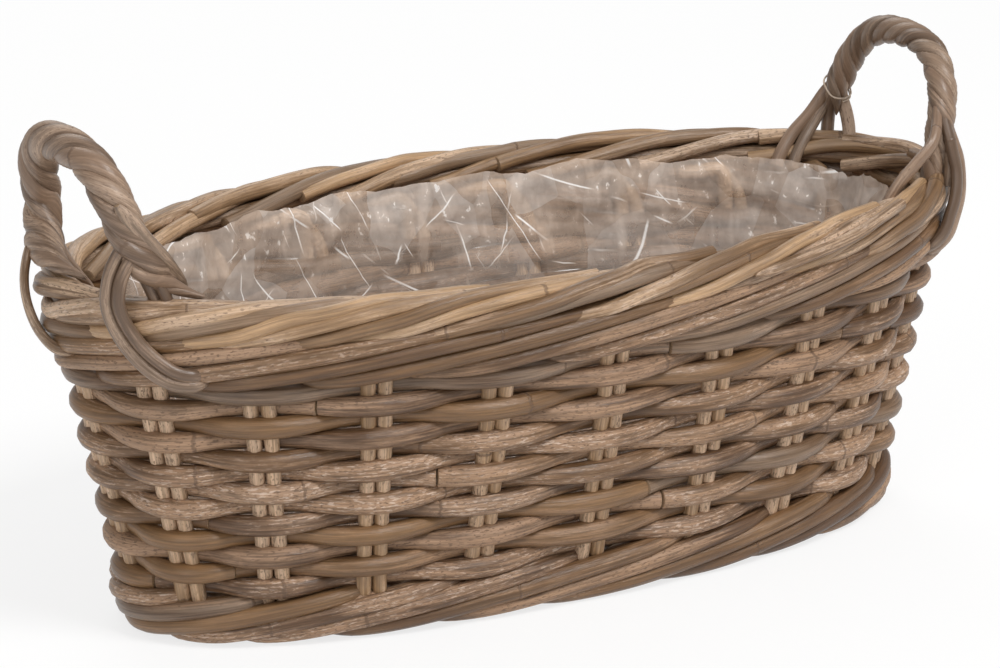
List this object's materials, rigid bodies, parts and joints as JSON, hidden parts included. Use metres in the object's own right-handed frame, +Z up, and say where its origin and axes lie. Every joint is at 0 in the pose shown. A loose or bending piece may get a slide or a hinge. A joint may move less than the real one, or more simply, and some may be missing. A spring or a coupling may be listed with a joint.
{
  "type": "oval basket",
  "caption": "Oval woven rattan basket with a rolled border, a roped handle at each end and a lift-out clear film liner.",
  "frame": {"origin": "on the floor, at the middle of the oval foot", "axes": "+X along the length towards the end with the slimmer handle, -Y towards the front, +Z up"},
  "size_m": [0.5044, 0.249, 0.2602],
  "materials": {
    "stakes": "grey-brown rattan, dry satin",
    "weavers": "grey-brown rattan, dry satin with patches of sheen",
    "wales": "grey-brown rattan, dry satin",
    "base_rods": "grey-brown rattan, dry matt",
    "handle_strands": "peeled pinkish grey rattan, matt with dark pores",
    "liner_film": "clear glossy film"
  },
  "bodies": {
    "basket": {"stake_pair_01": "stakes", "stake_pair_02": "stakes", "stake_pair_03": "stakes", "stake_pair_04": "stakes", "stake_pair_05": "stakes", "stake_pair_06": "stakes", "stake_pair_07": "stakes", "stake_pair_08": "stakes", "stake_pair_09": "stakes", "stake_pair_10": "stakes", "stake_pair_11": "stakes", "stake_pair_12": "stakes", "stake_pair_13": "stakes", "stake_pair_14": "stakes", "stake_pair_15": "stakes", "stake_pair_16": "stakes", "stake_pair_17": "stakes", "stake_pair_18": "stakes", "stake_pair_19": "stakes", "stake_pair_20": "stakes", "weaver_row_01": "weavers", "weaver_row_02": "weavers", "weaver_row_03": "weavers", "weaver_row_04": "weavers", "weaver_row_05": "weavers", "weaver_row_06": "weavers", "weaver_row_07": "weavers", "weaver_row_08": "weavers", "weaver_row_09": "weavers", "weaver_row_10": "weavers", "weaver_row_11": "weavers", "weaver_row_12": "weavers", "weaver_row_13": "weavers", "weaver_row_14": "weavers", "foot_wale_1": "wales", "foot_wale_2": "wales", "upper_wale_1": "wales", "upper_wale_2": "wales", "base_ring_1": "base_rods", "base_ring_2": "base_rods", "base_ring_3": "base_rods", "base_ring_4": "base_rods", "base_ring_5": "base_rods", "base_cross_stick_1": "base_rods", "base_cross_stick_2": "base_rods", "base_cross_stick_3": "base_rods", "base_cross_stick_4": "base_rods", "base_cross_stick_5": "base_rods", "base_long_sticks": "base_rods", "left_handle_bow": "handle_strands", "left_front_lashing": "handle_strands", "left_back_lashing": "handle_strands", "left_front_tail": "handle_strands", "left_back_tail": "handle_strands", "right_handle_bow": "handle_strands", "right_front_lashing": "handle_strands", "right_upper_tail": "handle_strands", "right_lower_tail": "handle_strands"},
    "liner": {"film_liner": "liner_film"}
  },
  "joints": [
    {"name": "liner_lift", "type": "slide", "parent": "basket", "child": "liner", "axis": [0, 0, 1], "range_m": [0, 0.25]}
  ]
}
